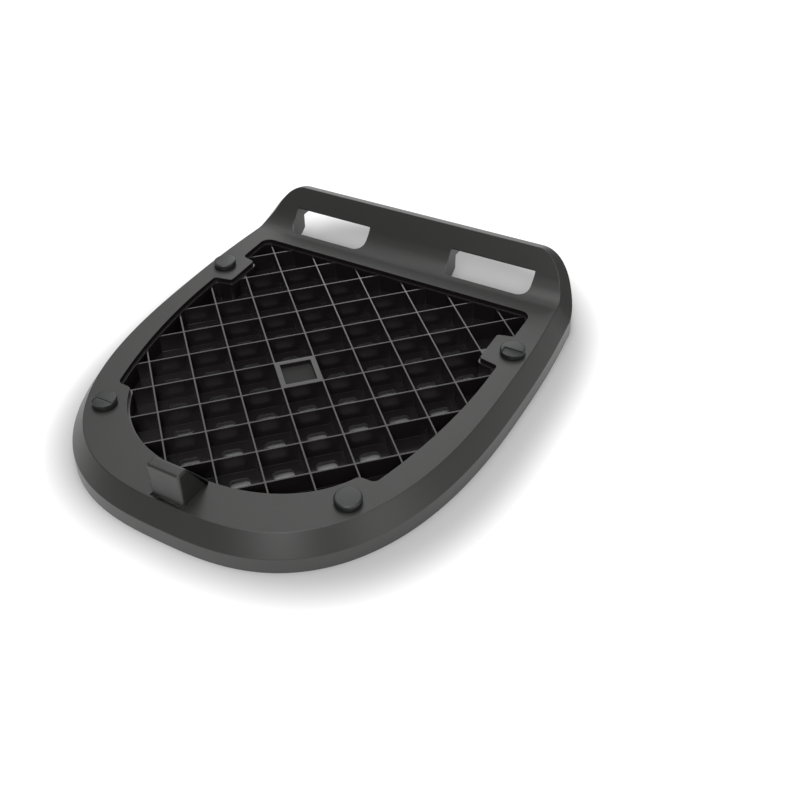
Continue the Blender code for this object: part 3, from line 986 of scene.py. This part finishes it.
@dataclass
class Moulding:
    """The plate itself, a single injection moulding."""

    skin: Skin = field(default_factory=Skin)
    rib: float = 1.8 * MM
    rib_foot: float = 4.0 * MM
    tail_rib_offset: float = 27.4 * MM
    cross_shares: tuple[float, ...] = (0.188, 0.365, 0.543, 0.727)
    nose_shares: tuple[float, ...] = (-0.783, -0.514, -0.232, 0.232, 0.514, 0.783)
    nose_rib_run: float = 68.2 * MM
    buffer_radius: float = 7.5 * MM
    tail_buffer_edge: float = 10.1 * MM
    nose_buffer_edge: float = 13.0 * MM
    nose_buffer_setback: float = 18.2 * MM
    seat_margin: float = 0.5 * MM
    seat_slope: float = 1.6 * MM
    seat_depth: float = 0.5 * MM
    stem_hole: float = 3.3 * MM
    edge_radius: float = 0.3 * MM
    edge_turn: float = math.radians(28)
    smooth_turn: float = math.radians(40)
    flat_weight: int = 80
    polish_margin: float = 0.1 * MM
    polish_depth: float = 0.5 * MM
    level_gap: float = 0.01 * MM
    level_facing: float = 0.99

    def __post_init__(self) -> None:
        """Set up the parts that belong to the skin."""
        self.well = Well(self.skin)
        self.lip = TailLip(self.skin)
        self.hook = LatchHook(self.skin, self.well)

    def seat_at(self, place: BufferPlace) -> Vector:
        """Give the middle of a buffer's seat.

        Args:
            place: Corner of the buffer.

        Returns:
            The point on the floor of the seat.
        """
        well = self.well
        if place.end == "tail":
            y, edge = well.tail_y - well.tab_start - well.tab_length / 2, self.tail_buffer_edge
        else:
            y, edge = well.nose_y + well.nose_tab_rise - self.nose_buffer_setback, self.nose_buffer_edge
        return Vector((place.side * (self.skin.half_width(y) - edge), y, self.skin.top - self.seat_depth))

    def add_ribs(self, plate: bpy.types.Object) -> None:
        """Join the ribs under the plate and the fences of the slots.

        Args:
            plate: Moulding in the making.
        """
        reach = self.skin.length
        half = self.rib / 2
        tail, nose = self.seat_at(BufferPlace.TAIL_RIGHT), self.seat_at(BufferPlace.NOSE_RIGHT)
        ys = [blend(tail.y, nose.y, share) for share in self.cross_shares] + [tail.y + self.tail_rib_offset]
        cross = [box_loop(-reach, reach, y - half, y + half) for y in ys]
        end = self.nose_rib_run - self.skin.length / 2
        lengthwise = [box_loop(nose.x * share - half, nose.x * share + half, -reach, end)
                      for share in self.nose_shares]
        for ribs in (prisms("cross_ribs", cross, self.rib_foot, reach),
                     prisms("nose_ribs", lengthwise, self.rib_foot, reach), self.lip.fences()):
            combine(ribs, self.skin.blank("clip", self.skin.wall / 2, 0), "INTERSECT")
            combine(plate, ribs, "UNION")

    def cut_seats(self, plate: bpy.types.Object) -> None:
        """Sink the buffers' seats and drill the holes of their stems.

        Args:
            plate: Moulding in the making.
        """
        foot = self.buffer_radius + self.seat_margin
        high = 2 * self.seat_depth
        reach = foot + self.seat_slope * high / self.seat_depth
        below = self.skin.top - self.skin.wall - OVERRUN
        for place in BufferPlace:
            seat = self.seat_at(place)
            for wide, narrow, low in ((reach, foot, seat.z), (self.stem_hole, self.stem_hole, below)):
                deselect_all()
                depth = seat.z + high - low
                bpy.ops.mesh.primitive_cone_add(vertices=64, radius1=narrow, radius2=wide, depth=depth,
                                                location=(seat.x, seat.y, low + depth / 2))
                combine(plate, bpy.context.object, "DIFFERENCE")

    def ease_edges(self, plate: bpy.types.Object) -> None:
        """Round the sharp edges as the mould does and smooth the curved faces.

        Args:
            plate: Finished body.
        """
        ease(plate, self.edge_radius, 2, self.edge_turn, use_clamp_overlap=False, miter_outer="MITER_ARC")
        bpy.ops.object.shade_smooth_by_angle(angle=self.smooth_turn)
        flat = plate.modifiers.new("flat faces stay flat", "WEIGHTED_NORMAL")
        flat.keep_sharp = True
        flat.weight = self.flat_weight
        apply_modifiers(plate)

    def dress(self, plate: bpy.types.Object) -> None:
        """Give each face its finish: grain outside, polish with a painted shade in the well, a matt pocket,
        bright rib tops.

        Args:
            plate: Finished mesh.
        """
        plate.data.materials.clear()
        for finish in FINISHES:
            plate.data.materials.append(finish.material())
        walls = rounded(widened(self.well.opening(), self.polish_margin))
        levels = {FINISHES.index(INSERT): self.well.grid_top - self.well.centre_depth,
                  FINISHES.index(BURNISH): self.well.grid_top}
        low, high = self.well.cell_floor - self.polish_depth, self.skin.top - self.edge_radius
        for face in plate.data.polygons:
            x, y, z = face.center
            # Faces in the well take the polished finish, whose darker colour is a painted shade for the deep
            # cells
            face.material_index = int(low < z < high and inside(walls, x, y))
            for index, level in levels.items():
                if abs(z - level) < self.level_gap and face.normal.z > self.level_facing:
                    face.material_index = index

    def build(self) -> bpy.types.Object:
        """Build the moulding in the solid's place.

        Returns:
            The finished piece.
        """
        plate = self.skin.blank("plate_moulding", 0, 0)
        combine(plate, self.skin.blank("hollow", self.skin.wall, -OVERRUN), "DIFFERENCE")
        self.add_ribs(plate)
        self.hook.add_to(plate)
        self.well.add_to(plate)
        self.lip.cut_from(plate)
        self.cut_seats(plate)
        self.ease_edges(plate)
        self.dress(plate)
        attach(plate, "root")
        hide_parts("mounting_plate")
        return plate


@dataclass
class Buffer:
    """A rubber buffer, spun about its stem, with a stepped cap."""

    place: BufferPlace
    seat: Vector
    rubber: bpy.types.Material
    radius: float = 7.5 * MM
    height: float = 4.0 * MM
    bevel: float = 1.1 * MM
    seat_gap: float = 0.3 * MM
    stem_radius: float = 3.0 * MM
    stem_end: float = -2.6 * MM
    barb_radius: float = 4.4 * MM
    barb_length: float = 5.0 * MM
    barb_edge: float = 0.4 * MM
    foot_edge: float = 0.2 * MM
    rim_steps: int = 5
    step_corner: tuple[float, float] = (-4.6 * MM, -1.0 * MM)
    edge_radius: float = 0.15 * MM
    edge_turn: float = math.radians(40)
    smooth_turn: float = math.radians(30)
    steps: int = 72

    def half_section(self) -> list[tuple[float, float]]:
        """Give the half section from the middle of the cap to the tip of the barb.

        Returns:
            Radius and height of each point.
        """
        rim = self.radius - self.bevel
        shoulder = self.height - self.bevel
        arc = [math.pi / 2 * (1 - step / self.rim_steps) for step in range(1, self.rim_steps + 1)]
        points = [(0.0, self.height), (rim, self.height)]
        points += [(rim + self.bevel * math.cos(angle), shoulder + self.bevel * math.sin(angle))
                   for angle in arc]
        points += [(self.radius, self.seat_gap + self.foot_edge),
                   (self.radius - self.foot_edge, self.seat_gap),
                   (self.stem_radius, self.seat_gap), (self.stem_radius, self.stem_end),
                   (self.barb_radius, self.stem_end), (self.barb_radius, self.stem_end - self.barb_edge),
                   (self.stem_radius - self.bevel, self.stem_end - self.barb_length),
                   (0.0, self.stem_end - self.barb_length)]
        return points

    def spin(self) -> bpy.types.Object:
        """Spin the half section into a closed body at the origin.

        Returns:
            The body.
        """
        deselect_all()
        line = self.half_section()
        bpy.ops.mesh.primitive_circle_add(vertices=len(line), radius=1, location=(0, 0, 0))
        body = bpy.context.object
        body.name = f"{self.place.node}_rubber"
        for vertex, (radius, height) in zip(body.data.vertices, line):
            vertex.co = (radius, 0, height)
        select_none(body)
        for edge in body.data.edges:
            edge.select = set(edge.vertices) == {0, len(line) - 1}
        bpy.ops.object.mode_set(mode="EDIT")
        bpy.ops.mesh.select_mode(type="EDGE")
        bpy.ops.mesh.delete(type="EDGE")
        bpy.ops.mesh.select_mode(type="VERT")
        bpy.ops.mesh.select_all(action="SELECT")
        bpy.ops.mesh.spin(steps=self.steps, angle=math.tau, center=(0, 0, 0), axis=(0, 0, 1))
        bpy.ops.mesh.select_all(action="SELECT")
        bpy.ops.mesh.remove_doubles(threshold=CLOSE)
        face_out()
        return body

    def cut_step(self, body: bpy.types.Object) -> None:
        """Sink the step into the cap, where it has one, and ease the edges.

        Args:
            body: Spun buffer at the origin.
        """
        x, y = self.step_corner
        depth = self.place.step_mm * MM
        if depth:
            loop = box_loop(x, 2 * self.radius, -2 * self.radius, y)
            combine(body, prism("step", loop, self.height - depth, self.height + OVERRUN), "DIFFERENCE")
        ease(body, self.edge_radius, 2, self.edge_turn)

    def build(self) -> bpy.types.Object:
        """Build the buffer on its seat.

        Returns:
            The finished piece.
        """
        body = self.spin()
        self.cut_step(body)
        activate(body)
        bpy.ops.object.shade_smooth_by_angle(angle=self.smooth_turn)
        body.data.transform(Matrix.Translation(self.seat))
        body.data.materials.clear()
        body.data.materials.append(self.rubber)
        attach(body, "root")
        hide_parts(self.place.node)
        return body


@dataclass(frozen=True)
class Softbox:
    """A square softbox that points at the plate."""

    name: str
    place: tuple[float, float, float]
    size: float
    watts: float

    def hang(self) -> None:
        """Hang the softbox in its place."""
        data = bpy.data.lights.new(self.name, "AREA")
        data.shape = "SQUARE"
        data.size = self.size
        data.energy = self.watts
        lamp = bpy.data.objects.new(self.name, data)
        bpy.context.scene.collection.objects.link(lamp)
        lamp.location = self.place
        lamp.rotation_euler = (-Vector(self.place)).to_track_quat("-Z", "Y").to_euler()


@dataclass
class Studio:
    """White floor, bright surroundings and the camera of the portrait."""

    floor_size: float = 6.0
    floor_colour: str = "c8c8c8"
    floor_glow: float = 0.6
    room_strength: float = 0.22
    # The glow fades out towards a superellipse, shaped like the plate; the dimmer floor inside it is a
    # painted shade for the plate's shadow
    painted_shade_middle: tuple[float, float, float] = (6 * MM, 20 * MM, 0.0)
    painted_shade_reach: tuple[float, float, float] = (126 * MM, 158 * MM, 1.0)
    painted_shade_power: float = 2.7
    painted_shade_fade: tuple[float, float] = (1.00, 1.23)
    # Reflections see less of the painted shade, by this much of the sum of powers
    painted_shade_shift: float = 0.5
    pitch: float = 24.5 * MM
    plan_offset: float = 92.4 * MM
    rib_plane: float = 17.4 * MM
    # The camera's place in grid pitches, and its turn as a Rodrigues vector, as solved from the grid
    camera_place: tuple[float, float, float] = (10.894, -19.325, 14.838)
    camera_turn: tuple[float, float, float] = (2.22908, 0.59933, -0.34008)
    focal_pixels: float = 975.2
    centre_pixels: tuple[float, float] = (327.2, 409.2)
    image_pixels: float = 800.0
    sensor_mm: float = 36.0
    lamps: tuple[Softbox, ...] = (Softbox("softbox behind left", (-1.2, 1.6, 2.0), 1.6, 10),
                                  Softbox("softbox behind low", (-0.9, 2.4, 0.9), 1.4, 11.5),
                                  Softbox("softbox in front", (0.8, -1.9, 1.9), 1.2, 34),
                                  Softbox("softbox right", (2.4, -0.2, 0.9), 1.2, 8.5),
                                  Softbox("softbox above", (0.0, 0.0, 2.6), 1.6, 24))

    def floor(self) -> None:
        """Lay the floor that the plate stands on, with a painted shade around the plate where its glow fades
        out.
        """
        deselect_all()
        bpy.ops.mesh.primitive_plane_add(size=self.floor_size, location=(0, 0, 0))
        floor = bpy.context.object
        floor.name = "floor"
        made = bpy.data.materials.new("matt white paper, glow with painted shade")
        made.use_nodes = True
        tree = made.node_tree
        tree.nodes.clear()
        paper = add_node(tree, "ShaderNodeBsdfDiffuse", None, {"Color": linear(self.floor_colour)})
        place = add_node(tree, "ShaderNodeTexCoord")
        moved = add_node(tree, "ShaderNodeVectorMath", {"operation": "SUBTRACT"},
                         {1: self.painted_shade_middle}, {0: place.outputs["Object"]})
        share = add_node(tree, "ShaderNodeVectorMath", {"operation": "DIVIDE"},
                         {1: self.painted_shade_reach}, {0: moved.outputs["Vector"]})
        size = add_node(tree, "ShaderNodeVectorMath", {"operation": "ABSOLUTE"}, None,
                        {0: share.outputs["Vector"]})
        parts = add_node(tree, "ShaderNodeSeparateXYZ", None, None, {0: size.outputs["Vector"]})
        powers = [add_node(tree, "ShaderNodeMath", {"operation": "POWER"}, {1: self.painted_shade_power},
                           {0: parts.outputs[axis]}) for axis in ("X", "Y")]
        away = add_node(tree, "ShaderNodeMath", {"operation": "ADD"}, None,
                        {0: powers[0].outputs["Value"], 1: powers[1].outputs["Value"]})
        path = add_node(tree, "ShaderNodeLightPath")
        shift = add_node(tree, "ShaderNodeMath", {"operation": "MULTIPLY_ADD"}, {1: self.painted_shade_shift},
                         {0: path.outputs["Is Glossy Ray"], 2: away.outputs["Value"]})
        # The glow fades to nothing near the plate: a painted shade, seen by the camera and in reflections
        near, far = (edge ** self.painted_shade_power for edge in self.painted_shade_fade)
        fade = add_node(tree, "ShaderNodeMapRange", {"interpolation_type": "SMOOTHSTEP"},
                        {"From Min": near, "From Max": far, "To Max": self.floor_glow},
                        {"Value": shift.outputs["Value"]})
        glow = add_node(tree, "ShaderNodeEmission", None, {"Color": (1, 1, 1, 1)},
                        {"Strength": fade.outputs["Result"]})
        either = add_node(tree, "ShaderNodeMath", {"operation": "MAXIMUM"}, None,
                          {0: path.outputs["Is Camera Ray"], 1: path.outputs["Is Glossy Ray"]})
        lift = add_node(tree, "ShaderNodeMixShader", None, None,
                        {0: either.outputs["Value"], 2: glow.outputs["Emission"]})
        both = add_node(tree, "ShaderNodeAddShader", None, None,
                        {0: paper.outputs["BSDF"], 1: lift.outputs["Shader"]})
        add_node(tree, "ShaderNodeOutputMaterial", None, None, {"Surface": both.outputs["Shader"]})
        floor.data.materials.append(made)

    def surroundings(self) -> None:
        """Set the world: a dim white room around a white background."""
        world = bpy.data.worlds.new("studio")
        bpy.context.scene.world = world
        world.use_nodes = True
        tree = world.node_tree
        tree.nodes.clear()
        room = add_node(tree, "ShaderNodeBackground", None,
                        {"Color": (1, 1, 1, 1), "Strength": self.room_strength})
        white = add_node(tree, "ShaderNodeBackground", None, {"Color": (1, 1, 1, 1), "Strength": 1.0})
        path = add_node(tree, "ShaderNodeLightPath")
        seen = add_node(tree, "ShaderNodeMixShader", None, None,
                        {0: path.outputs["Is Camera Ray"], 1: room.outputs["Background"],
                         2: white.outputs["Background"]})
        add_node(tree, "ShaderNodeOutputWorld", None, None, {"Surface": seen.outputs["Shader"]})

    def camera(self) -> None:
        """Set the camera at the portrait's viewing angle."""
        data = bpy.data.cameras.new("portrait")
        data.sensor_width = self.sensor_mm
        data.lens = self.focal_pixels / self.image_pixels * data.sensor_width
        data.shift_x = (self.image_pixels / 2 - self.centre_pixels[0]) / self.image_pixels
        data.shift_y = (self.centre_pixels[1] - self.image_pixels / 2) / self.image_pixels
        camera = bpy.data.objects.new("portrait", data)
        bpy.context.scene.collection.objects.link(camera)
        turn = Vector(self.camera_turn)
        world_to_view = Matrix.Rotation(turn.length, 3, turn.normalized())
        facing = world_to_view.transposed() @ Matrix.Diagonal((1, -1, -1))
        place = Vector(self.camera_place) * self.pitch + Vector((0, self.plan_offset, self.rib_plane))
        camera.matrix_world = Matrix.Translation(place) @ facing.to_4x4()
        bpy.context.scene.camera = camera

    def build(self) -> None:
        """Set up the floor, the light and the camera."""
        self.floor()
        self.surroundings()
        for lamp in self.lamps:
            lamp.hang()
        self.camera()
        bpy.context.scene.view_settings.view_transform = "Standard"


def main() -> None:
    """Load the frame, dress it, and set up the portrait."""
    logging.basicConfig(level=logging.INFO)
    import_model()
    moulding = Moulding()
    plate = moulding.build()
    LOG.info("%s: %d faces", plate.name, len(plate.data.polygons))
    rubber = RUBBER.material()
    for place in BufferPlace:
        buffer = Buffer(place, moulding.seat_at(place), rubber).build()
        LOG.info("%s: %d faces", buffer.name, len(buffer.data.polygons))
    Studio().build()


if __name__ == "__main__":
    main()
